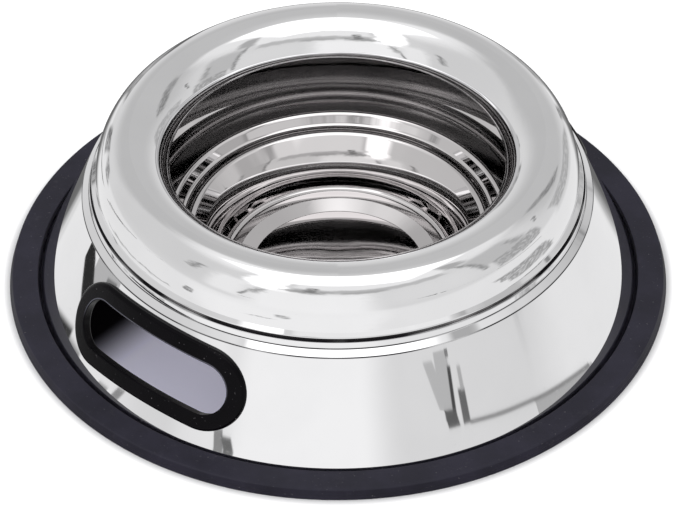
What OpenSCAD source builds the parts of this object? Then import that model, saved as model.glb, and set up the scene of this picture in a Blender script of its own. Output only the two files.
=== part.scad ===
// Non-tip feeding bowl of polished stainless steel, on a rubber ring, with two rubber-edged finger slots.
// Millimetres. The bowl stands on the plane z = 0 with its axis on z, and its front looks along negative y.

/* [Sheet steel] */
// Thickness of the pressed sheet
sheet = 0.8; // [0.6:0.1:1]
// Clearance between rubber and steel
rubber_fit = 0.1; // [0.05:0.05:0.2]

/* [Base ring] */
// Radius of the ring at the floor
ring_r = 145; // [130:1:160]
// Height of the ring
ring_h = 5; // [4.5:0.5:7]
// How far the ring's side leans in from floor to top
ring_lean = 1.5; // [0.5:0.1:3]
// Bevel along the ring's top edges
ring_bevel = 0.7; // [0.3:0.1:1]
// Rubber between the steel flange and the floor
ring_sole = 1.7; // [1.2:0.1:2]
// Rubber between the edge of the steel flange and the ring's outside
ring_wall = 5.9; // [4:0.1:8]
// Gap between the ring's inner top edge and the skirt's foot
ring_gap = 0.6; // [0.4:0.1:1]
// How far the sole reaches inwards past the skirt's foot
sole_lap = 2.5; // [1:0.5:4]

/* [Outer skirt] */
// Width of the flange that is turned out at the foot
foot_flange_w = 7.3; // [5:0.1:9]
// Bend radius at the foot
foot_bend = 1.2; // [1:0.1:2]
// How far the cone draws in from its foot to its top
cone_w = 20.8; // [17:0.1:24]
// Height of the top of the cone above the floor
cone_top_z = 48.7; // [47:0.1:52]
// Inward width of the shoulder above the cone
shoulder_w = 3.1; // [2.4:0.1:4]
// Height of the shoulder
shoulder_h = 2.2; // [1.6:0.1:2.8]
// Inward width of the upright band above the shoulder
band_w = 0.3; // [0.1:0.1:0.8]
// Height of the band
band_h = 3.3; // [2.8:0.1:4]
// Bend radius along the shoulder and the band
shoulder_bend = 0.9; // [0.8:0.1:1]
// Width of the seat that is turned in above the band
seat_w = 4.8; // [3.4:0.2:5.2]

/* [Finger slots] */
// Direction of the first slot, in degrees from the front towards the left
slot_turn = 42; // [30:1:60]
// Distance of the slot's middle up the cone from its foot
slot_rise = 29.6; // [27:0.2:30]
// Length of the slot in the steel
slot_l = 89; // [70:1:94]
// Height of the slot in the steel
slot_h = 30; // [24:0.5:31]

/* [Grommets] */
// How far the rubber lip covers the steel round the slot
lip_over = 3.5; // [2.5:0.1:4]
// How far the rubber reaches into the slot
lip_into = 3.8; // [3:0.1:5]
// Height of the lip above the skirt's outer face
lip_front = 2.6; // [2:0.1:3]
// Height of the lip behind the skirt's inner face
lip_back = 1.8; // [1.4:0.1:2.4]
// Size of the step that rounds off the lip's outer edge
lip_step = 1.2; // [0.8:0.1:1.3]

/* [Splash rim] */
// Distance from the shoulder's edge in to the rim's lap edge
lap_inset = 0.3; // [0.1:0.1:0.6]
// Width of the foot that is turned in under the rim
rim_foot_w = 3.4; // [2.6:0.1:4]
// How far the flared part of the wall draws in above the rim's foot
rim_flare_w = 2.4; // [1.6:0.1:3]
// Height of the flared part of the wall above the rim's foot
rim_flare_h = 2.1; // [1.5:0.1:3]
// Distance from the rim's outer wall in to its crest
rim_outer_w = 14.6; // [12:0.1:17]
// Height of the crest above the flared part
rim_dome_h = 21.7; // [18:0.1:24]
// Depth of the inner side's curve below the crest
rim_inner_h = 19.8; // [18.5:0.1:21]
// Distance from the crest in to the lip's edge
rim_inner_w = 17.6; // [15:0.1:20]
// Depth of the lip's edge below the crest
lip_depth = 14.3; // [13.5:0.1:16]
// Width of the hem that is folded back inside the lip
hem_w = 4.5; // [3:0.5:6]

/* [Inner bowl] */
// Distance from the rim's foot edge in to the edge of the bowl's flange
flange_inset = 1.2; // [0.6:0.1:1.6]
// Gap between the skirt's seat and the neck that passes through it
neck_gap = 0.4; // [0.2:0.1:1]
// Depth of the neck below the flange
neck_h = 8.7; // [7.5:0.1:10]
// How far the neck draws in from top to bottom
neck_w = 1; // [0.4:0.1:1.6]
// How far the upper side draws in from the neck to the shelf
side_w = 15.7; // [14:0.1:18]
// Height of the shelf's outer edge above its inner edge
shelf_fall = 0.5; // [0.2:0.1:1.5]
// Width of the shelf
shelf_w = 12.5; // [10:0.1:15]
// Height of the shelf above the ledge
shelf_h = 5.1; // [4.4:0.1:6]
// How far the wall between the shelf and the ledge draws in
step_w = 3.8; // [3.2:0.1:4.6]
// Width of the ledge
ledge_w = 4.4; // [4.2:0.1:5.5]
// Rise of the ledge towards the middle
ledge_rise = 1.1; // [0.6:0.1:1.3]
// Height of the ledge above the middle of the wall
upper_wall_h = 10.1; // [9:0.1:11]
// How far the wall draws in from the ledge to its middle
upper_wall_w = 11.1; // [10:0.1:12]
// Height of the middle of the wall above its foot
lower_wall_h = 11.9; // [10.5:0.1:13]
// How far the wall draws in from its middle to its foot
lower_wall_w = 2.2; // [1.6:0.1:3]
// Height of the corner strip between the wall and the floor
corner_h = 0.7; // [0.6:0.1:0.9]
// Width of the corner strip
corner_w = 2; // [2:0.1:2.6]
// Fall of the floor towards the well
floor_fall = 0.5; // [0.2:0.1:0.8]
// Width of the floor round the well
floor_w = 4.3; // [3.6:0.1:5]
// Depth of the well
well_h = 2.4; // [1.8:0.1:2.8]
// How far the well's side draws in
well_side_w = 6.4; // [5:0.1:8]
// Rise of the well's floor to the middle
well_dome = 0.9; // [0:0.1:1.2]
// Radius of the flat in the middle of the well
well_crown_r = 8; // [4:1:12]
// Clearance between the bowl's underside and the table
bowl_clear = 2.5; // [1.8:0.1:3]

/* [Hidden] */
$fn = 180;

steel = "silver";
rubber = "#26252b";
// Half the depth of the bar that cuts a slot
slot_reach = 16;
// Straight pieces in one bend, in a quarter of the rim, along the hem and round its fold
bend_steps = 5;
quarter_steps = 14;
hem_steps = 3;
fold_steps = 6;

// Bend radii of the inner bowl, from the flange to the well
flange_bend = 1.4;
neck_bend = 7.7;
shelf_bend = 12.4;
shelf_edge_bend = 3.2;
ledge_bend = 2.7;
ledge_edge_bend = 4;
wall_bend = 21;
foot_of_wall_bend = 1.7;
floor_bend = 7;
well_edge_bend = 1;
well_bend = 1.2;

// Heights and radii that the pieces share
groove_r = ring_r - ring_wall;
foot_r = groove_r - rubber_fit - foot_flange_w;
flange_top_z = ring_sole + rubber_fit + sheet;
cone_top_r = foot_r - cone_w;
seat_z = cone_top_z + shoulder_h + band_h;
seat_edge_r = cone_top_r - shoulder_w - band_w;
seat_in_r = seat_edge_r - seat_w;
bowl_flange_z = seat_z + sheet;
lap_r = seat_edge_r - lap_inset;

// Slope of the skirt's cone, in degrees from the floor
cone_slope = atan2(cone_top_z - flange_top_z, cone_w);

// Unit vector
function unit(v) = v / norm(v);

// Signed turn from one direction to another, in degrees
function turn_of(a, b) = atan2(a[0] * b[1] - a[1] * b[0], a * b);

// Arc of radius r that rounds the corner p between its neighbours a and b
function bend(a, p, b, r) =
    let (u = unit(a - p), v = unit(b - p), half = acos(u * v) / 2)
    let (centre = p + unit(u + v) * r / sin(half), from = p + u * r / tan(half) - centre)
    let (start = atan2(from[1], from[0]), turn = turn_of(from, p + v * r / tan(half) - centre))
    arc(centre, r, r, start, start + turn, bend_steps);

// Points of an ellipse's arc
function arc(centre, rx, rz, from, to, steps) =
    [for (i = [0:steps])
        let (a = from + (to - from) * i / steps)
        centre + [rx * cos(a), rz * sin(a)]];

// Path through corners, each with its bend radius as a third value, or zero for a sharp one
function bent_path(corners) =
    let (points = [for (c = corners) [c[0], c[1]]], radii = [for (c = corners) c[2]])
    [for (i = [0:len(corners) - 1])
        each radii[i] == 0 ? [points[i]] : bend(points[i - 1], points[i], points[i + 1], radii[i])];

// Sideways direction of a path at one of its points, towards its left, as long as keeps a sheet's thickness
function left_of(path, i) =
    let (back = i == 0 ? path[1] - path[0] : path[i] - path[i - 1])
    let (ahead = i == len(path) - 1 ? back : path[i + 1] - path[i])
    let (mean = unit(unit(back) + unit(ahead)))
    [-mean[1], mean[0]] / (mean * unit(ahead));

// Points beside a path, from one of its points back to its first
function beside(path, from, gap) = [for (i = [from:-1:0]) path[i] + left_of(path, i) * gap];

// Point on the cone's outer face at a distance up the slope, lifted off it by another
function on_cone(up, lift) =
    [foot_r, flange_top_z]
        + up * [-cos(cone_slope), sin(cone_slope)]
        + lift * [sin(cone_slope), cos(cone_slope)];

// Rubber ring with a groove that holds the skirt's foot flange
module base_ring() {
    sole_r = foot_r - sole_lap;
    groove_z = flange_top_z + rubber_fit;
    inner_r = foot_r + ring_gap;
    top_r = ring_r - ring_lean;
    color(rubber)
        rotate_extrude()
            polygon([
                [sole_r, 0],
                [ring_r - ring_bevel, 0],
                [ring_r, ring_bevel],
                [top_r, ring_h - ring_bevel],
                [top_r - ring_bevel, ring_h],
                [inner_r + ring_bevel, ring_h],
                [inner_r, ring_h - ring_bevel],
                [inner_r, groove_z],
                [groove_r, groove_z],
                [groove_r, ring_sole],
                [sole_r, ring_sole]
            ]);
}

// Slot outline with round ends, as long as l and as high as h
module slot_outline(l, h) {
    square([l - h, h], center = true);
    for (side = [-1, 1])
        translate([side * (l - h) / 2, 0])
            circle(d = h);
}

// Bar with the slot's outline grown by a margin, square to the cone at the slot's middle
module slot_bar(margin) {
    middle = on_cone(slot_rise, 0);
    translate([0, -middle[0], middle[1]])
        rotate([cone_slope, 0, 0])
            linear_extrude(height = slot_reach * 2, center = true)
                slot_outline(slot_l + margin * 2, slot_h + margin * 2);
}

// Shell along the cone between two lifts
module cone_shell(low, high) {
    cone_l = norm([cone_w, cone_top_z - flange_top_z]);
    rotate_extrude()
        polygon([on_cone(0, low), on_cone(0, high), on_cone(cone_l, high), on_cone(cone_l, low)]);
}

// Outer shell with its foot flange, shoulder, band and seat, and the two slots
module outer_skirt() {
    path = bent_path([
        [foot_r + foot_flange_w, flange_top_z, 0],
        [foot_r, flange_top_z, foot_bend],
        [cone_top_r, cone_top_z, shoulder_bend],
        [cone_top_r - shoulder_w, cone_top_z + shoulder_h, shoulder_bend],
        [seat_edge_r, seat_z, shoulder_bend],
        [seat_in_r, seat_z, 0]
    ]);
    color(steel)
        difference() {
            rotate_extrude()
                polygon(concat(path, beside(path, len(path) - 1, sheet)));
            for (half_turn = [0, 180])
                rotate([0, 0, half_turn - slot_turn])
                    slot_bar(0);
        }
}

// Rubber lip round a slot, with a groove for the steel's edge
module grommet() {
    color(rubber)
        difference() {
            union() {
                intersection() {
                    slot_bar(lip_over);
                    cone_shell(lip_step - lip_back - sheet, lip_front - lip_step);
                }
                intersection() {
                    slot_bar(lip_over - lip_step);
                    cone_shell(-lip_back - sheet, lip_front);
                }
            }
            slot_bar(-lip_into);
            difference() {
                cone_shell(-sheet - rubber_fit, rubber_fit);
                slot_bar(-rubber_fit);
            }
        }
}

module grip_grommet_left() {
    rotate([0, 0, -slot_turn])
        grommet();
}

module grip_grommet_right() {
    rotate([0, 0, 180 - slot_turn])
        grommet();
}

// Deep-drawn basin with a shelf, a grooved ledge, a curved wall, a narrow floor and a round well
module inner_bowl() {
    throat_r = seat_in_r - neck_gap - sheet;
    shelf_outer_r = throat_r - neck_w - side_w;
    shelf_inner_r = shelf_outer_r - shelf_w;
    ledge_outer_r = shelf_inner_r - step_w;
    ledge_inner_r = ledge_outer_r - ledge_w;
    wall_mid_r = ledge_inner_r - upper_wall_w;
    wall_foot_r = wall_mid_r - lower_wall_w;
    floor_r = wall_foot_r - corner_w;
    well_r = floor_r - floor_w;
    well_z = bowl_clear + sheet;
    floor_in_z = well_z + well_h;
    floor_z = floor_in_z + floor_fall;
    wall_foot_z = floor_z + corner_h;
    mid_z = wall_foot_z + lower_wall_h;
    ledge_in_z = mid_z + upper_wall_h;
    ledge_z = ledge_in_z - ledge_rise;
    shelf_in_z = ledge_z + shelf_h;
    path = bent_path([
        [lap_r - flange_inset, bowl_flange_z, 0],
        [throat_r, bowl_flange_z, flange_bend],
        [throat_r - neck_w, bowl_flange_z - neck_h, neck_bend],
        [shelf_outer_r, shelf_in_z + shelf_fall, shelf_bend],
        [shelf_inner_r, shelf_in_z, shelf_edge_bend],
        [ledge_outer_r, ledge_z, ledge_bend],
        [ledge_inner_r, ledge_in_z, ledge_edge_bend],
        [wall_mid_r, mid_z, wall_bend],
        [wall_foot_r, wall_foot_z, foot_of_wall_bend],
        [floor_r, floor_z, floor_bend],
        [well_r, floor_in_z, well_edge_bend],
        [well_r - well_side_w, well_z, well_bend],
        [well_crown_r, well_z + well_dome, 0],
        [0, well_z + well_dome, 0]
    ]);
    color(steel)
        rotate_extrude()
            polygon(concat(path, beside(path, len(path) - 1, sheet)));
}

// Half-round rim with a turned-in foot and a lip that is hemmed on its hidden side
module splash_rim() {
    rim_wall_r = lap_r - rim_flare_w;
    crest_r = rim_wall_r - rim_outer_w;
    wall_z = bowl_flange_z + rim_flare_h;
    crest_z = wall_z + rim_dome_h;
    lip_angle = asin(1 - lip_depth / rim_inner_h);
    hem_angle = lip_angle + hem_w / rim_inner_h * 180 / PI;
    inner_centre = [crest_r, crest_z - rim_inner_h];
    inner_w = rim_inner_w / cos(lip_angle);
    hem_step = (hem_angle - lip_angle) / hem_steps;
    path = concat(
        [[lap_r - rim_foot_w, bowl_flange_z], [lap_r, bowl_flange_z]],
        arc([crest_r, wall_z], rim_outer_w, rim_dome_h, 0, 90, quarter_steps),
        arc(inner_centre, inner_w, rim_inner_h, 90 + 90 / quarter_steps, 180 - hem_angle, quarter_steps),
        arc(inner_centre, inner_w, rim_inner_h, 180 - hem_angle + hem_step, 180 - lip_angle, hem_steps - 1)
    );
    last = len(path) - 1;
    across = left_of(path, last) * sheet;
    fold_from = atan2(-across[1], -across[0]);
    fold = arc(path[last] + across, sheet, sheet, fold_from, fold_from + 180, fold_steps);
    hem = [for (i = [last:-1:last - hem_steps]) path[i] + left_of(path, i) * sheet * 2];
    color(steel)
        rotate_extrude()
            polygon(concat(path, fold, hem, beside(path, last - hem_steps, sheet)));
}

base_ring();
outer_skirt();
inner_bowl();
splash_rim();
grip_grommet_left();
grip_grommet_right();
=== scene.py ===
"""Non-tip feeding bowl: three polished steel pressings locked together, on a rubber ring, with two rubber grommets.

The pieces are made in the order in which the bowl is put together. Lengths are in metres.
"""
import math

import bmesh
import bpy
from mathutils import Matrix, Vector


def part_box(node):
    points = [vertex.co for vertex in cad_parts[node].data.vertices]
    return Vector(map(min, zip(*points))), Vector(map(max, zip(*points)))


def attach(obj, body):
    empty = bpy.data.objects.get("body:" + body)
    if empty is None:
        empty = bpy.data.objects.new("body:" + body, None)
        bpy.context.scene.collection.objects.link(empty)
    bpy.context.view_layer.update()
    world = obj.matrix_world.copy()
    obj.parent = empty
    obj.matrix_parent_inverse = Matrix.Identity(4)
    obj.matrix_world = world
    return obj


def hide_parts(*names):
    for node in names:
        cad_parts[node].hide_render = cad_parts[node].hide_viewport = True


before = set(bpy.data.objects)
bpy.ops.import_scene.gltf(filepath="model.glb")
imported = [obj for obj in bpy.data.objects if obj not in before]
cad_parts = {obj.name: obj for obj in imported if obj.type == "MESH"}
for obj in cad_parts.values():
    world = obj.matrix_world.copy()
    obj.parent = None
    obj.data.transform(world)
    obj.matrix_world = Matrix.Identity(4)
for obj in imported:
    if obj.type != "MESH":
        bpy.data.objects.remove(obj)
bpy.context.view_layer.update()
mm = 0.001

# Base ring
# One moulding of black rubber, stretched over the turned-out flange at the skirt's foot, which sits in a groove inside it.
# It left its mould with a faint parting line round its side, and it has picked up nicks and dust.
ring_low, ring_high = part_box("base_ring")
ring_r = ring_high.x
ring_h = ring_high.z
ring_lean = 1.5 * mm
ring_edge = 0.8 * mm
ring_foot_edge = 0.5 * mm
ring_inner_r = ring_r - 12.7 * mm
ring_sole_r = ring_r - 15.8 * mm
groove_r = ring_r - 5.9 * mm
groove_low = 1.7 * mm
groove_high = 2.7 * mm


def wire(corners, closed=False):
    """A section in the plane y = 0: each corner is a radius, a height and the radius of its bend."""
    bm = bmesh.new()
    verts = [bm.verts.new((r, 0, z)) for r, z, bend in corners]
    for a, b in zip(verts, verts[1:] + verts[:1] if closed else verts[1:]):
        bm.edges.new((a, b))
    places = [vert.co.copy() for vert in verts]
    for i, (vert, (r, z, bend)) in enumerate(zip(verts, corners)):
        if bend:
            turn = (places[i] - places[i - 1]).angle(places[(i + 1) % len(places)] - places[i])
            bmesh.ops.bevel(bm, geom=[vert], offset=bend * math.tan(turn / 2), offset_type="OFFSET",
                            segments=max(4, round(math.degrees(turn) / 4)), profile=0.5, affect="VERTICES",
                            material=-1)
    return bm


def finish(bm, name, material, node):
    """Turn a bmesh into the piece that stands for a CAD node."""
    bmesh.ops.remove_doubles(bm, verts=bm.verts, dist=0.001 * mm)
    bmesh.ops.recalc_face_normals(bm, faces=bm.faces)
    mesh = bpy.data.meshes.new(name)
    bm.to_mesh(mesh)
    bm.free()
    mesh.shade_smooth()
    piece = bpy.data.objects.new(name, mesh)
    bpy.context.scene.collection.objects.link(piece)
    piece.data.materials.append(material)
    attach(piece, "root")
    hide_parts(node)
    return piece


def lathe(bm, steps=288):
    """Turn a section once round the bowl's axis."""
    bmesh.ops.spin(bm, geom=bm.verts[:] + bm.edges[:], cent=(0, 0, 0), axis=(0, 0, 1), dvec=(0, 0, 0),
                   angle=math.tau, steps=steps, use_merge=True, use_duplicate=False)
    return bm


class Field:
    """A number that changes over a surface: arithmetic on it adds Math nodes to its material."""

    def __init__(self, tree, socket):
        self.tree, self.socket = tree, socket

    def node(self, kind, settings=None, **inputs):
        """Add a node: settings are set first, then inputs by name, with _1 and _2 for sockets that share a name."""
        made = self.tree.nodes.new(kind)
        for key, value in (settings or {}).items():
            setattr(made, key, value)
        for key, value in inputs.items():
            key = key.replace("_", " ")
            socket = made.inputs[int(key[1:])] if key.startswith(" ") else made.inputs[key]
            if isinstance(value, Field):
                self.tree.links.new(value.socket, socket)
            else:
                socket.default_value = value
        return made

    def out(self, made, name=0):
        return Field(self.tree, made.outputs[name])

    def math(self, operation, a, b=0.0):
        return self.out(self.node("ShaderNodeMath", {"operation": operation}, _0=a, _1=b))

    def __add__(self, other): return self.math("ADD", self, other)
    def __radd__(self, other): return self.math("ADD", other, self)
    def __sub__(self, other): return self.math("SUBTRACT", self, other)
    def __rsub__(self, other): return self.math("SUBTRACT", other, self)
    def __mul__(self, other): return self.math("MULTIPLY", self, other)
    def __rmul__(self, other): return self.math("MULTIPLY", other, self)
    def __truediv__(self, other): return self.math("DIVIDE", self, other)
    def __pow__(self, other): return self.math("POWER", self, other)

    def rise(self, low, high):
        """0 below low, 1 above high, and a smooth step between them."""
        return self.out(self.node("ShaderNodeMapRange", {"interpolation_type": "SMOOTHSTEP"},
                                  Value=self, From_Min=low, From_Max=high))

    def within(self, low, high, soft):
        """1 between low and high, with soft edges that reach outwards and inwards alike."""
        half = (high - low) / 2
        away = self.math("ABSOLUTE", self - (low + high) / 2)
        return self.out(self.node("ShaderNodeMapRange", {"interpolation_type": "SMOOTHSTEP"}, Value=away,
                                  From_Min=half - soft, From_Max=half + soft, To_Min=1.0, To_Max=0.0))

    def mix(self, a, b):
        """The number a where this is 0, b where it is 1."""
        return self.out(self.node("ShaderNodeMix", None, _0=self, _2=a, _3=b))

    def blend(self, a, b):
        """The colour a where this is 0, b where it is 1."""
        mixed = self.node("ShaderNodeMix", {"data_type": "RGBA"}, _0=self, _6=a, _7=b)
        return self.out(mixed, 2)


def new_material(name):
    """A material with its surface shader and its object coordinates as fields x, y, z and round radius."""
    material = bpy.data.materials.new(name)
    material.use_nodes = True
    tree = material.node_tree
    shader = tree.nodes["Principled BSDF"]
    base = Field(tree, None)
    coords = base.out(base.node("ShaderNodeTexCoord"), "Object")
    split = base.node("ShaderNodeSeparateXYZ", Vector=coords)
    x, y, z = (base.out(split, i) for i in range(3))
    radius = base.math("SQRT", x * x + y * y)
    return material, shader, coords, x, y, z, radius


def link(field, shader, name):
    field.tree.links.new(field.socket, shader.inputs[name])


def noise(coords, scale, detail=3.0, roughness=0.55, stretch=None):
    """Smooth noise over the piece, with scale in patches per metre; stretch scales the axes."""
    if stretch:
        mapped = coords.node("ShaderNodeMapping", None, Vector=coords, Scale=stretch)
        coords = coords.out(mapped)
    made = coords.node("ShaderNodeTexNoise", None, Vector=coords, Scale=scale, Detail=detail, Roughness=roughness)
    return coords.out(made, "Fac")


def bump(height, shader, distance, strength=1.0):
    made = height.node("ShaderNodeBump", None, Height=height, Distance=distance, Strength=strength)
    link(height.out(made), shader, "Normal")


def rubber(name, tone, gloss, rough, dusty, lines=(), edge=None):
    """Black moulded rubber: slightly blue, with pale dust, small nicks and parting lines at given heights.

    edge gives where light is painted on the moulding, as a field from 0 to 1: a paler lit face, or a painted highlight
    along an edge.
    """
    material, shader, coords, x, y, z, radius = new_material(name)
    shader.inputs["Specular IOR Level"].default_value = gloss
    cloud = noise(coords, 45, 4)
    specks = noise(coords, 900, 2).rise(0.70, 0.76)
    worn = noise(coords, 140, 5, 0.7).rise(0.58, 0.75)
    dust = specks * 0.5 + worn * dusty
    tint = cloud.rise(0.35, 0.65)
    dark = tuple(0.8 * c for c in tone) + (1,)
    pale = tuple(1.25 * c for c in tone) + (1,)
    colour = tint.blend(dark, pale)
    colour = dust.blend(colour, (0.20, 0.19, 0.20, 1))
    # Painted light: where edge is 1, the colour goes to a pale blue-grey.
    if edge:
        colour = edge(x, y, z, radius).blend(colour, (0.12, 0.12, 0.15, 1))
    link(colour, shader, "Base Color")
    link(rough + cloud * 0.16 + dust * 0.25, shader, "Roughness")
    height = noise(coords, 1600, 3) * 0.35 + noise(coords, 260, 3) * 0.5 - worn * 0.3
    for low, high in lines:
        height = height - z.within(low, high, 0.12 * mm) * 1.6
    bump(height, shader, 0.12 * mm)
    return material


ring = wire([
    (ring_sole_r, 0, 0.3 * mm), (ring_r, 0, ring_foot_edge), (ring_r - ring_lean, ring_h, ring_edge),
    (ring_inner_r, ring_h, 0.4 * mm), (ring_inner_r, groove_high, 0), (groove_r, groove_high, 0),
    (groove_r, groove_low, 0), (ring_sole_r, groove_low, 0.3 * mm),
], closed=True)
ring_side_lines = ((1.9 * mm, 2.2 * mm),)


def ring_top_painted_light(x, y, z, radius):
    """Painted light: the upper face is painted a little paler than the side, down to its outer edge, where the light
    falls on it.
    """
    return z.rise(ring_h - 0.9 * mm, ring_h - 0.4 * mm) * 0.09


# The ring's paler top face is painted light.
ring_rubber = rubber("ring rubber", (0.018, 0.0165, 0.027), 0.12, 0.42, 0.06, ring_side_lines, ring_top_painted_light)
finish(lathe(ring), "rubber_base_ring", ring_rubber, "base_ring")

# Outer skirt
# A wide cone of sheet steel, pressed and mirror-polished, with a flange turned out at its foot and a shoulder at its top.
# The two finger slots are punched square through it.
sheet = 0.8 * mm
skirt_low, skirt_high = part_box("outer_skirt")
flange_r = skirt_high.x
flange_z = skirt_low.z + sheet
seat_z = skirt_high.z
foot_r = flange_r - 7.3 * mm
foot_bend = 1.2 * mm
band_h = 3.3 * mm
shoulder_h = 2.2 * mm
shoulder_bend = 0.9 * mm
cone_top_z = seat_z - band_h - shoulder_h
cone_top_r = foot_r - 20.8 * mm
shoulder_r = cone_top_r - 3.1 * mm
seat_edge_r = shoulder_r - 0.3 * mm
seat_in_r = seat_edge_r - 4.8 * mm
cone_slope = math.atan2(cone_top_z - flange_z, foot_r - cone_top_r)
slot_turn = math.radians(42)
slot_rise = 29.6 * mm
slot_l, slot_h = 89 * mm, 30 * mm
slot_sides = {"left": 0.0, "right": math.pi}


def steel(name, tint, rough, wave, lines, depth, hidden_tone, hidden_rough, creases=(), painted_shade_band=None):
    """Polished stainless sheet: a mirror with fine polishing lines round the axis, slight waves and a few dings.

    depth gives how far a place lies behind the polished face, in metres: the hidden face was left as it was rolled.
    creases are heights, from and to, of painted shade: thin black lines in a bend or a joint, where a shadow gap falls.
    painted_shade_band is a band of painted shade on the hidden face, from one radius to another, and how dark it is
    there.
    """
    material, shader, coords, x, y, z, radius = new_material(name)
    shader.inputs["Metallic"].default_value = 1.0
    hidden = depth(x, y, z, radius).rise(0.35 * sheet, 0.55 * sheet)
    turned = coords.out(coords.node("ShaderNodeCombineXYZ", None, X=radius, Y=z * 0.9 + radius * 0.31, Z=0.0))
    grain = noise(turned, 700, 3)
    haze = noise(coords, 28, 3)
    marks = noise(coords, 420, 4, 0.6, (1, 1, 4)).rise(0.66, 0.74)
    colour = haze.rise(0.3, 0.7).blend(tuple(0.97 * c for c in tint) + (1,), tuple(tint) + (1,))
    # Painted shade: the hidden face is darker in this band.
    if painted_shade_band:
        low, high, shade_level = painted_shade_band
        hidden_colour = radius.within(low, high, 0.8 * mm).blend((hidden_tone,) * 3 + (1,), (shade_level,) * 3 + (1,))
    else:
        hidden_colour = (hidden_tone,) * 3 + (1,)
    colour = hidden.blend(colour, hidden_colour)
    # Painted shade: thin black lines at the creases, where shadow gaps fall between the pressings.
    crease_shade = hidden * 0.0
    for low, high in creases:
        crease_shade = crease_shade + z.within(low, high, 0.12 * mm) * noise(coords, 30, 2).rise(0.20, 0.50)
    crease_shade = crease_shade * (1 - hidden)
    link(crease_shade.blend(colour, (0.012, 0.011, 0.014, 1)), shader, "Base Color")
    link(rough + haze * 0.01 + marks * 0.05 + hidden * hidden_rough + crease_shade * 0.4, shader, "Roughness")
    dings = noise(coords, 60, 0).rise(0.70, 0.80)
    height = noise(coords, 22, 1) * wave + grain * lines - dings * wave * 0.2
    bump(height, shader, 1.0 * mm)
    return material


def on_cone(up, lift):
    """Point of the skirt's section at a distance up the cone, lifted off its face."""
    return Vector((foot_r - up * math.cos(cone_slope) + lift * math.sin(cone_slope), 0,
                   flange_z + up * math.sin(cone_slope) + lift * math.cos(cone_slope)))


def slot_place(turn):
    """Matrix from the slot's own plane (along, up the slope, out of the skirt) to its place on the bowl."""
    middle = on_cone(slot_rise, 0)
    return (Matrix.Rotation(turn - slot_turn, 4, "Z") @ Matrix.Translation((0, -middle.x, middle.z))
            @ Matrix.Rotation(cone_slope, 4, "X"))


skirt = wire([
    (flange_r, flange_z, 0), (foot_r, flange_z, foot_bend), (cone_top_r, cone_top_z, shoulder_bend),
    (shoulder_r, cone_top_z + shoulder_h, shoulder_bend), (seat_edge_r, seat_z, shoulder_bend), (seat_in_r, seat_z, 0),
])
cone_edge = max(skirt.edges, key=lambda e: e.calc_length())
bmesh.ops.subdivide_edges(skirt, edges=[cone_edge], cuts=14)


def skirt_depth(x, y, z, radius):
    """Depth behind the skirt's outer face, told on the cone alone."""
    behind = (foot_r - radius) * math.sin(cone_slope) - (z - flange_z) * math.cos(cone_slope)
    return behind * (1 - z.rise(cone_top_z - 1.5 * mm, cone_top_z - 0.5 * mm))


# Lines of painted shade at the seat and at both edges of the shoulder.
skirt_creases = (
    (seat_z - 0.3 * mm, seat_z + 0.1 * mm),
    (cone_top_z + shoulder_h - 0.1 * mm, cone_top_z + shoulder_h + 0.35 * mm),
    (cone_top_z - 0.35 * mm, cone_top_z + 0.1 * mm),
)
skirt_steel = steel("skirt steel", (0.817, 0.815, 0.824), 0.01, 0.006, 0.00004, skirt_depth, 0.10, 0.22, skirt_creases)
skirt_piece = finish(lathe(skirt, 360), "steel_skirt", skirt_steel, "outer_skirt")

punch = bmesh.new()
for turn in slot_sides.values():
    made = bmesh.ops.create_circle(punch, cap_ends=True, segments=64, radius=slot_h / 2)["verts"]
    bmesh.ops.rotate(punch, verts=made, cent=(0, 0, 0), matrix=Matrix.Rotation(math.tau / 128, 3, "Z"))
    for vert in made:
        vert.co.x += math.copysign((slot_l - slot_h) / 2, vert.co.x)
    bmesh.ops.translate(punch, verts=made, vec=(0, 0, -16 * mm))
    faces = [f for f in punch.faces if all(v in made for v in f.verts)]
    top = [e for e in bmesh.ops.extrude_face_region(punch, geom=faces)["geom"] if isinstance(e, bmesh.types.BMVert)]
    bmesh.ops.translate(punch, verts=top, vec=(0, 0, 32 * mm))
    bmesh.ops.transform(punch, matrix=slot_place(turn), verts=made + top)
bmesh.ops.recalc_face_normals(punch, faces=punch.faces)
punch_mesh = bpy.data.meshes.new("punch")
punch.to_mesh(punch_mesh)
punch.free()
punch_tool = bpy.data.objects.new("punch", punch_mesh)
bpy.context.scene.collection.objects.link(punch_tool)


def thicken(piece, thickness, offset):
    """Give a surface its sheet thickness on the side that offset names."""
    wall = piece.modifiers.new("sheet", "SOLIDIFY")
    wall.thickness = thickness
    wall.offset = offset
    wall.use_even_offset = True
    return wall


def settle(piece, sharp=math.radians(35)):
    """Apply the modifiers, keep bends smooth and edges crisp, and let flat stretches rule the shading."""
    bpy.context.view_layer.update()
    done = bpy.data.meshes.new_from_object(piece.evaluated_get(bpy.context.evaluated_depsgraph_get()))
    piece.modifiers.clear()
    piece.data = done
    done.shade_smooth()
    done.set_sharp_from_angle(angle=sharp)
    even = piece.modifiers.new("even shading", "WEIGHTED_NORMAL")
    even.keep_sharp = True
    even.weight = 100


thicken(skirt_piece, sheet, -1)
cut = skirt_piece.modifiers.new("slots", "BOOLEAN")
cut.operation = "DIFFERENCE"
cut.solver = "EXACT"
cut.object = punch_tool
settle(skirt_piece)
bpy.data.objects.remove(punch_tool)

# Finger grips
# Two mouldings of the same black rubber, each a ring with a groove all round that is buttoned over the edge of a slot.
# Their lips follow the skirt's curve.
lip_over = 3.5 * mm
lip_into = 3.8 * mm
lip_front = 2.6 * mm
lip_back = 1.8 * mm
rubber_fit = 0.1 * mm


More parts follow.
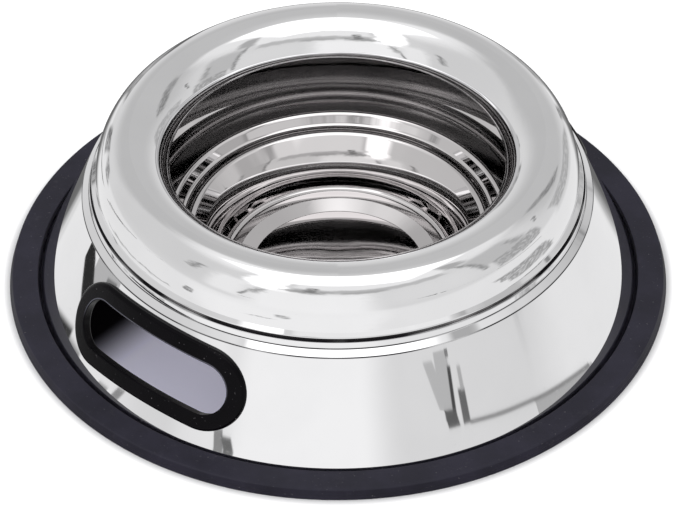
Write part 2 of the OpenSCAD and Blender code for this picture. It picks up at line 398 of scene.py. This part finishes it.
def cone_drop(along, up):
    """How far the skirt's face lies behind the slot's own plane at a place of that plane."""
    low, high = -30 * mm, 5 * mm
    place = slot_place(slot_turn)
    for _ in range(40):
        out = (low + high) / 2
        p = place @ Vector((along, up, out))
        cone_r = foot_r - (p.z - flange_z) / math.tan(cone_slope)
        if math.hypot(p.x, p.y) > cone_r:
            high = out
        else:
            low = out
    return (low + high) / 2


def grip(turn):
    """A grooved section swept round the slot's outline, then laid on the cone."""
    edge = slot_h / 2
    corners = [
        (edge - lip_into, -sheet - lip_back, 1.2 * mm), (edge - lip_into, lip_front, 0.6 * mm),
        (edge + lip_over, lip_front, 1.7 * mm), (edge + lip_over, rubber_fit, 0.15 * mm),
        (edge - rubber_fit, rubber_fit, 0), (edge - rubber_fit, -sheet - rubber_fit, 0),
        (edge + lip_over, -sheet - rubber_fit, 0.15 * mm), (edge + lip_over, -sheet - lip_back, 1.2 * mm),
    ]
    bm = wire(corners, closed=True)
    straight = slot_l - slot_h
    bmesh.ops.translate(bm, verts=bm.verts, vec=(straight / 2, 0, 0))
    bmesh.ops.rotate(bm, verts=bm.verts, cent=(straight / 2, 0, 0), matrix=Matrix.Rotation(-math.pi / 2, 3, "Z"))
    last = bm.verts[:] + bm.edges[:]
    for centre, slide in ((straight / 2, -straight), (-straight / 2, straight)):
        last = bmesh.ops.spin(bm, geom=last, cent=(centre, 0, 0), axis=(0, 0, 1), dvec=(0, 0, 0),
                              angle=math.pi, steps=28)["geom_last"]
        last = bmesh.ops.spin(bm, geom=last, cent=(0, 0, 0), axis=(0, 0, 1), dvec=(slide / 20, 0, 0),
                              angle=0, steps=20)["geom_last"]
    bmesh.ops.remove_doubles(bm, verts=bm.verts, dist=0.01 * mm)
    for vert in bm.verts:
        vert.co.z += cone_drop(vert.co.x, vert.co.y)
    bmesh.ops.transform(bm, matrix=slot_place(turn), verts=bm.verts)
    return bm




def grip_painted_highlight(x, y, z, radius):
    """A painted highlight: a thin pale line round the opening, clearest along its upper side."""
    along = x.math("ABSOLUTE", x * math.cos(slot_turn) - y * math.sin(slot_turn))
    up = (z - on_cone(slot_rise, lip_front).z) / math.sin(cone_slope) + along * along * 1.7
    past_end = x.math("MAXIMUM", along - (slot_l - slot_h) / 2, 0.0)
    from_opening = x.math("SQRT", past_end * past_end + up * up) - (slot_h / 2 - lip_into)
    return from_opening.within(0.25 * mm, 0.65 * mm, 0.2 * mm) * up.rise(-3 * mm, 6 * mm)


# The pale line round each grip's opening is a painted highlight.
grip_rubber = rubber("grip rubber", (0.002, 0.0016, 0.0026), 0.07, 0.12, 0.01, (), grip_painted_highlight)
for side, turn in slot_sides.items():
    finish(grip(turn), "rubber_grip_" + side, grip_rubber, "grip_grommet_" + side)

# Inner bowl
# A deep-drawn basin of the same sheet, with a shelf, a ledge, a curved wall, a sloping floor and a round well in its middle.
# Its flange is pinched between the skirt's seat and the rim's foot. It is less brightly polished than the outside.
bowl_low, bowl_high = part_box("inner_bowl")
bowl_flange_r = bowl_high.x
bowl_flange_z = bowl_high.z
well_z = bowl_low.z + sheet
throat_r = seat_in_r - 1.2 * mm
neck_r, neck_z = throat_r - 1.0 * mm, bowl_flange_z - 8.7 * mm
shelf_out_r = neck_r - 15.7 * mm
shelf_in_r = shelf_out_r - 12.5 * mm
ledge_out_r = shelf_in_r - 3.8 * mm
ledge_in_r = ledge_out_r - 4.4 * mm
wall_mid_r = ledge_in_r - 11.1 * mm
wall_foot_r = wall_mid_r - 2.2 * mm
floor_r = wall_foot_r - 2.0 * mm
well_r = floor_r - 4.3 * mm
well_floor_r, well_crown_r = well_r - 6.4 * mm, 8 * mm
floor_in_z = well_z + 2.4 * mm
floor_z = floor_in_z + 0.5 * mm
wall_foot_z = floor_z + 0.7 * mm
wall_mid_z = wall_foot_z + 11.9 * mm
ledge_in_z = wall_mid_z + 10.1 * mm
ledge_out_z = ledge_in_z - 1.1 * mm
shelf_in_z = ledge_out_z + 5.1 * mm
shelf_out_z = shelf_in_z + 0.5 * mm
well_crown_z = well_z + 0.9 * mm
basin = wire([
    (bowl_flange_r, bowl_flange_z, 0), (throat_r, bowl_flange_z, 1.4 * mm), (neck_r, neck_z, 7.7 * mm),
    (shelf_out_r, shelf_out_z, 12.4 * mm), (shelf_in_r, shelf_in_z, 3.2 * mm),
    (ledge_out_r, ledge_out_z, 2.7 * mm), (ledge_in_r, ledge_in_z, 4 * mm), (wall_mid_r, wall_mid_z, 21 * mm),
    (wall_foot_r, wall_foot_z, 1.7 * mm), (floor_r, floor_z, 7 * mm), (well_r, floor_in_z, 1 * mm),
    (well_floor_r, well_z, 1.2 * mm), (well_crown_r, well_crown_z, 0), (0, well_crown_z, 0),
])


def bowl_depth(x, y, z, radius):
    """The basin is polished on the side that is seen, and its underside is closed in by the skirt."""
    return x * 0.0


bowl_steel = steel("bowl steel", (0.65, 0.63, 0.632), 0.02, 0.04, 0.0001, bowl_depth, 0.46, 0.22)
bowl_piece = finish(lathe(basin), "steel_bowl", bowl_steel, "inner_bowl")
thicken(bowl_piece, sheet, -1)
settle(bowl_piece)

# Splash rim
# A half-round ring of mirror-polished sheet. Its foot is locked down on the bowl's flange, and its lip is hemmed under.
# It overhangs the basin, so that food and water stay in.
rim_low, rim_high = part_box("splash_rim")
lap_r, foot_z, crest_z = rim_high.x, rim_low.z, rim_high.z
rim_foot_w = 3.4 * mm
rim_wall_r, rim_wall_z = lap_r - 2.4 * mm, foot_z + 2.1 * mm
crest_r = rim_wall_r - 14.6 * mm
dome_h = crest_z - rim_wall_z
inner_h = 19.8 * mm
lip_angle = math.asin(1 - 14.3 * mm / inner_h)
inner_w = 17.6 * mm / math.cos(lip_angle)
hem_gap = 1.8 * mm
hem_turn = 4.5 * mm / inner_h


def arc(bm, centre, size, start, turn, steps):
    """An arc of an ellipse, as a wire: its centre and its size are radii and heights."""
    kept = set(bm.verts)
    bmesh.ops.spin(bm, geom=[bm.verts.new((math.cos(start), 0, math.sin(start)))], cent=(0, 0, 0), axis=(0, -1, 0),
                   dvec=(0, 0, 0), angle=turn, steps=steps)
    made = [vert for vert in bm.verts if vert not in kept]
    bmesh.ops.scale(bm, vec=(size[0], 1, size[1]), verts=made)
    bmesh.ops.translate(bm, vec=(centre[0], 0, centre[1]), verts=made)


rim = wire([(lap_r - rim_foot_w, foot_z, 0), (lap_r, foot_z, 0.5 * mm), (rim_wall_r, rim_wall_z, 0)])
inner_centre = (crest_r, crest_z - inner_h)
lip_turn = math.pi / 2 - lip_angle
arc(rim, (crest_r, rim_wall_z), (rim_wall_r - crest_r, dome_h), 0, math.pi / 2, 32)
arc(rim, inner_centre, (inner_w, inner_h), math.pi / 2, lip_turn, 32)
lip_r, lip_z = (crest_r - inner_w * math.cos(lip_angle), inner_centre[1] + inner_h * math.sin(lip_angle))
hem_size = (inner_w - hem_gap, inner_h - hem_gap)
hem_r, hem_z = (crest_r - hem_size[0] * math.cos(lip_angle), inner_centre[1] + hem_size[1] * math.sin(lip_angle))
fold_turn = math.atan2(lip_z - hem_z, lip_r - hem_r)
fold_r = math.hypot(lip_r - hem_r, lip_z - hem_z) / 2
arc(rim, ((lip_r + hem_r) / 2, (lip_z + hem_z) / 2), (fold_r, fold_r), fold_turn, math.pi, 8)
arc(rim, inner_centre, hem_size, math.pi - lip_angle - hem_turn, hem_turn, 6)
bmesh.ops.remove_doubles(rim, verts=rim.verts, dist=0.02 * mm)


def rim_depth(x, y, z, radius):
    """Depth behind the rim's outer face, told from how far inside its outline's ellipses a place lies."""
    outer = ((radius - crest_r) / (rim_wall_r - crest_r)) ** 2.0 + ((z - rim_wall_z) / dome_h) ** 2.0
    inner = ((radius - crest_r) / inner_w) ** 2.0 + ((z - inner_centre[1]) / inner_h) ** 2.0
    on_outside = (radius - crest_r).rise(-0.1 * mm, 0.1 * mm)
    inside = 1 - (outer * on_outside + inner * (1 - on_outside))
    return inside * 8.0 * mm * z.rise(rim_wall_z, rim_wall_z + 1 * mm)


# A line of painted shade at the rim's foot, where it laps over the skirt.
rim_creases = ((foot_z - 0.1 * mm, foot_z + 0.4 * mm),)
# The band of the rim's hidden face in the hollow under its lip is painted shade.
rim_steel = steel("rim steel", (0.812, 0.81, 0.818), 0.02, 0.10, 0.0001, rim_depth, 0.58, 0.08, rim_creases,
                  (crest_r - 14.4 * mm, crest_r - 7.2 * mm, 0.14))
rim_piece = finish(lathe(rim), "steel_rim", rim_steel, "splash_rim")
thicken(rim_piece, sheet, -1)
settle(rim_piece)

# Table
# A plain white table top. The camera sees it white, apart from the bowl's shadow. Under the bowl, where the front left
# slot shows it, the table has painted light: a pale lilac glow and tint, and a painted black shadow at the slot's left
# end.
table = bmesh.new()
bmesh.ops.create_grid(table, x_segments=1, y_segments=1, size=3.0)
table_mesh = bpy.data.meshes.new("table")
table.to_mesh(table_mesh)
table.free()
table_top = bpy.data.objects.new("table", table_mesh)
bpy.context.scene.collection.objects.link(table_top)
table_paint = bpy.data.materials.new("table white")
table_paint.use_nodes = True
table_tree = table_paint.node_tree
table_shader = table_tree.nodes["Principled BSDF"]
table_shader.inputs["Roughness"].default_value = 0.9
table_shader.inputs["Specular IOR Level"].default_value = 0.1
tabletop = Field(table_tree, None)
rays = tabletop.node("ShaderNodeLightPath")
place = tabletop.node("ShaderNodeSeparateXYZ", None, Vector=tabletop.out(tabletop.node("ShaderNodeTexCoord"), "Object"))
away = tabletop.math("SQRT", tabletop.out(place, 0) ** 2.0 + tabletop.out(place, 1) ** 2.0)
seen = tabletop.out(rays, "Is Camera Ray") * away.rise(ring_r, ring_r + 4 * mm)
along_slot = tabletop.out(place, 0) * -math.cos(slot_turn) + (tabletop.out(place, 1) - 31 * mm) * math.sin(slot_turn)
# Painted shadow: the table under the slot's left end is painted black.
in_shade = along_slot.rise(6 * mm, 30 * mm) * (1 - away.rise(ring_r - 12 * mm, ring_r))
# Painted light: for the camera, the table under the bowl glows pale lilac, apart from the painted shadow.
glow = tabletop.out(rays, "Is Camera Ray") * (1 - away.rise(ring_r - 12 * mm, ring_r)) * (1 - in_shade)
link(glow.blend(seen.blend((0, 0, 0, 1), (1, 1, 1, 1)), (0.33, 0.325, 0.40, 1)), table_shader, "Emission Color")
# Under the bowl the table is painted lilac, the tint of its shade. Outside the bowl it is white.
white_and_painted_lilac = away.rise(ring_r - 12 * mm, ring_r).blend((0.80, 0.79, 0.95, 1), (0.86, 0.86, 0.87, 1))
link(in_shade.blend(white_and_painted_lilac, (0.004, 0.002, 0.004, 1)), table_shader, "Base Color")
table_shader.inputs["Emission Strength"].default_value = 0.4
table_top.data.materials.append(table_paint)
table_top.visible_glossy = False

# Studio
# What stands round the table, as directions seen from the bowl: a soft box overhead, a tall strip light at the front
# left, pale walls, and the few dark things between them that polished steel shows. Azimuth is 0 at the front and grows
# to the right.
world = bpy.data.worlds.new("studio")
bpy.context.scene.world = world
world.use_nodes = True
sky_tree = world.node_tree
sky_tree.nodes.clear()
sky = Field(sky_tree, None)
direction = sky.out(sky.node("ShaderNodeTexCoord"), "Generated")
toward = sky.node("ShaderNodeSeparateXYZ", None, Vector=direction)
east, north, up = (sky.out(toward, i) for i in range(3))
azimuth = sky.math("ARCTAN2", east, north * -1.0) * math.degrees(1)
elevation = sky.math("ARCSINE", up) * math.degrees(1)
stir = sky.math("ABSOLUTE", elevation + 4.0).rise(12, 22)
turned = sky.math("ABSOLUTE", azimuth) / 100
share = -2.6447 - 0.4716 * turned + 9.7711 * turned * turned + elevation * (0.5576 + 0.0447 * turned)
bearing = azimuth
azimuth = azimuth + (noise(direction, 11, 2) - 0.5) * 7 * stir
elevation = elevation + (noise(direction, 13, 2) - 0.5) * 5 * stir
clutter = noise(direction, 24, 3).rise(0.30, 0.60) * 0.6 + 0.4

wall_level = 0.80
light_level = 1.8
clutter_levels = (0.2, 0.5)
# Name, azimuth from and to, elevation from and to, softness, lean in azimuth per degree of elevation, tilt in elevation
# per degree of azimuth, level; lean and tilt turn about the middle.
studio = [
    ("table all round", -200, 200, -92, -5, 3, 0, 0, 0.94),
    ("behind the bowl, right", 150, 200, -66, -16, 7, 0, 0, 0.16),
    ("behind the bowl, left", -200, -150, -66, -16, 7, 0, 0, 0.16),
    ("dim back wall, right", 108, 200, 12, 72, 14, 0, 0, 0.62),
    ("dim back wall, left", -200, -125, 22, 66, 14, 0, 0, 0.60),
    ("wall at the left", -120, -62, 2, 52, 9, 0, 0, 0.76),
    ("bright front wall", -40, 16, -12, 36, 9, 0, 0, 1.07),
    ("wall at the front right", 20, 64, 0, 36, 12, 0, 0, 0.85),
    ("table in front", -66, 20, -90, -8, 9, 0, 0, 1.05),
    ("table, front right", 20, 70, -90, -24, 10, 0, 0, 0.94),
    ("table's back right", 112, 150, -11, -3, 3, 0, 0, 0.78),
    ("ceiling over the front", -24, 68, 45, 68, 3, 0, 0, 1.0),
    ("ceiling over the left", -150, -60, 58, 78, 9, 0, 0, 1.05),
    ("ceiling over the right", 66, 118, 48, 68, 7, 0, 0, 0.95),
    ("strip light, left edge", -53, -32, 33, 80, 4.5, -0.40, 0, light_level),
    ("strip light", -44, -30, 33, 80, 3.5, 0, 0, light_level),
    ("strip light's spill", -58, -42, 0, 36, 4, 0, 0, 1.0),
    ("gap under the ceiling", -24, 54, 37, 45, 2.5, 0, 0, 0.60),
    ("gap's dark left end", -28, -5, 34, 41, 3.0, 0.5, 0, 0.42),
    ("arm across the gap", -17, -11, 37, 50, 1.8, 0, 0, 0.26),
    ("gap, middle", 2, 24, 35, 40, 2.5, 0, 0, 0.50),
    ("stand of the strip light", -42, -39.8, 5.5, 18, 0.9, 0.3, 0, 0.36),
    ("stand, upper part", -39, -34, 15, 29, 2.4, 0.2, 0, 0.42),
    ("thing at the left", -71, -66, 18, 34, 2.2, 0.1, 0, 0.36),
    ("grey board, upper part", 65, 92, 14, 44, 3.5, -0.05, 0, 0.60),
    ("grey board", 72, 98, -2, 15, 1.5, -0.14, 0, 0.42),
    ("board's edge", 64, 67, 8, 48, 1.2, -0.08, 0, 0.36),
    ("board's other edge", 86, 90, 18, 34, 1.5, 0, 0, 0.42),
    ("clamp over the board", 62, 76, 46, 61, 3.0, 0.5, 0, 0.50),
    ("stand behind the right", 122, 132, 21, 38, 2.5, -0.15, 0, 0.28),
    ("stand's head", 120, 131, 36, 44, 2.5, 0, 0, 0.34),
    ("hook at the right", 102, 104.5, 19, 28, 1.0, 0.2, 0, 0.30),
    ("low box behind the right", 111, 143, -6, 11, 1.5, -0.3, 0, 0.48),
    ("line along the back", 86, 98, -4.6, -2.6, 0.8, 0, 0, 0.30),
    ("things behind the right", 150, 153.5, -26, -2, 1.0, -0.2, 0, 0.24),
    ("more things behind the right", 158, 166, -24, 0, 2.0, 0, 0, 0.34),
    ("sheet on the table, right", 78, 108, -34, -19, 1.2, -1.1, 0, 0.40),
    ("boxes behind the left", -146, -138, -12, 4, 1.5, 0.2, 0, 0.22),
    ("more boxes behind the left", -134, -127, -10, 2, 1.5, -0.3, 0, 0.34),
    ("far box behind the left", -168, -155, -18, 6, 1.5, 0.2, 0, 0.30),
    ("its dark side", -170, -167, -26, 2, 1.0, 0.3, 0, 0.12),
    ("line behind the left", -150, -132, -20, -18.4, 0.8, 2.4, 0, 0.20),
    ("mark on the table, left", -70, -66.5, -26, -19, 0.8, 0.4, 0, 0.30),
    ("mark on the table, front left", -27, -21, -22, -17, 1.3, 0, 0, 0.40),
    ("line on the table, front left", -40, -30, -27, -25.4, 0.8, 3.0, 0, 0.46),
    ("line on the table, left", -130, -82, -34.6, -33, 0.8, 0, 0, 0.46),
]
level = azimuth * 0.0 + wall_level
for what, left, right, low, high, soft, lean, tilt, new_level in studio:
    along = azimuth - (elevation - (low + high) / 2) * lean if lean else azimuth
    above = elevation - (azimuth - (left + right) / 2) * tilt if tilt else elevation
    mask = along.within(left, right, soft) * above.within(low, high, soft)
    if clutter_levels[0] < new_level < clutter_levels[1] and soft > 0.5:
        mask = mask * clutter
    level = mask.mix(level, new_level)
# What the skirt's cone alone mirrors, low in the room: azimuth from and to, share of the cone's height from and to,
# softness in degrees, lean in azimuth per share, tilt in share per degree, level.
low_things = [
    ("cabinet", 36.8, 42.0, 0.43, 0.96, 0.30, 0, 0, 0.56),
    ("cabinet's left side", 34.3, 38.0, 0.43, 0.88, 0.30, -9.2, 0, 0.56),
    ("cabinet's edge", 41.0, 42.3, 0.36, 0.80, 0.30, 1.5, 0, 0.08),
    ("cabinet's top mark", 41.3, 42.6, 0.88, 0.97, 0.20, 0, 0, 0.25),
    ("cabinet's foot", 38.0, 42.2, 0.27, 0.43, 0.25, -6.0, 0, 0.13),
    ("cabinet's right side", 43.9, 46.5, 0.27, 0.58, 0.30, 0, 0, 0.17),
    ("cabinet's right side, upper part", 45.0, 46.4, 0.56, 0.78, 0.35, 0, 0, 0.50),
    ("paper on the table", 71.5, 99.0, -0.20, 0.175, 0.15, 0, -0.0022, 0.50),
    ("edge of the table, near", 46.3, 71.5, 0.223, 0.263, 0.15, 0, -0.0024, 0.26),
    ("edge of the table, far", 71.0, 97.5, 0.156, 0.196, 0.15, 0, -0.0026, 0.26),
    ("brown box", -113.5, -97.0, 0.66, 1.2, 0.30, 0, 0, 0.54),
    ("brown box's shaded side", -104.5, -98.5, 0.86, 0.96, 0.50, 0, 0.006, 0.22),
    ("black box", -121.9, -108.0, 0.62, 0.96, 0.25, 0, -0.040, 0.03),
    ("dark things at the left", -125.0, -111.0, 0.05, 0.30, 0.80, 0, 0.0, 0.04),
    ("dark thing's end", -115.0, -103.0, 0.06, 0.20, 1.00, 0, -0.004, 0.10),
    ("mark by the ring", -91.5, -87.0, 0.03, 0.12, 0.40, 20.0, 0, 0.28),
    ("second mark by the ring", -83.5, -80.3, 0.06, 0.20, 0.40, 20.0, 0, 0.30),
    ("foot of the light", -43.0, -39.8, 0.05, 0.26, 0.25, -6.0, 0, 0.30),
    ("foot of the light, right", -39.8, -36.2, 0.06, 0.20, 0.25, -14.0, 0, 0.16),
]
for what, left, right, low, high, soft, lean, tilt, new_level in low_things:
    along = bearing - (share - (low + high) / 2) * lean if lean else bearing
    above = share - (bearing - (left + right) / 2) * tilt if tilt else share
    mask = along.within(left, right, soft) * above.within(low, high, soft * 0.06)
    level = mask.mix(level, new_level)
# The soft box's edges, as shares of its height over the bowl
height = sky.math("MAXIMUM", up, 0.02)
box_mask = (east / height).within(-0.42, 0.48, 0.06) * (north / height).within(-0.56, 0.17, 0.05) * up.rise(0.1, 0.2)
level = box_mask.mix(level, light_level)
white = sky.out(sky.node("ShaderNodeLightPath"), "Is Camera Ray")
level = white.mix(level, 1.0)
background = sky.node("ShaderNodeBackground", None, Strength=level)
background.inputs["Color"].default_value = (1, 1, 1, 1)
output = sky.node("ShaderNodeOutputWorld")
sky_tree.links.new(background.outputs[0], output.inputs[0])
world.cycles.sampling_method = "MANUAL"
world.cycles.sample_map_resolution = 2048

# Camera
# Above and in front of the bowl, looking down at it, at the photograph's distance and focal length.
camera_data = bpy.data.cameras.new("camera")
camera_data.sensor_width = 36
camera_data.lens = 202.1
camera_data.clip_end = 20
camera = bpy.data.objects.new("camera", camera_data)
pitch, yaw, roll = math.radians(40.47), 0.0007, -0.0042
camera.matrix_world = (Matrix.Translation((0, -1.280, 1.102)) @ Matrix.Rotation(-yaw, 4, "Z")
                       @ Matrix.Rotation(math.pi / 2 - pitch, 4, "X") @ Matrix.Rotation(roll, 4, "Z"))
bpy.context.scene.collection.objects.link(camera)
bpy.context.scene.camera = camera
bpy.context.scene.view_settings.view_transform = "Standard"
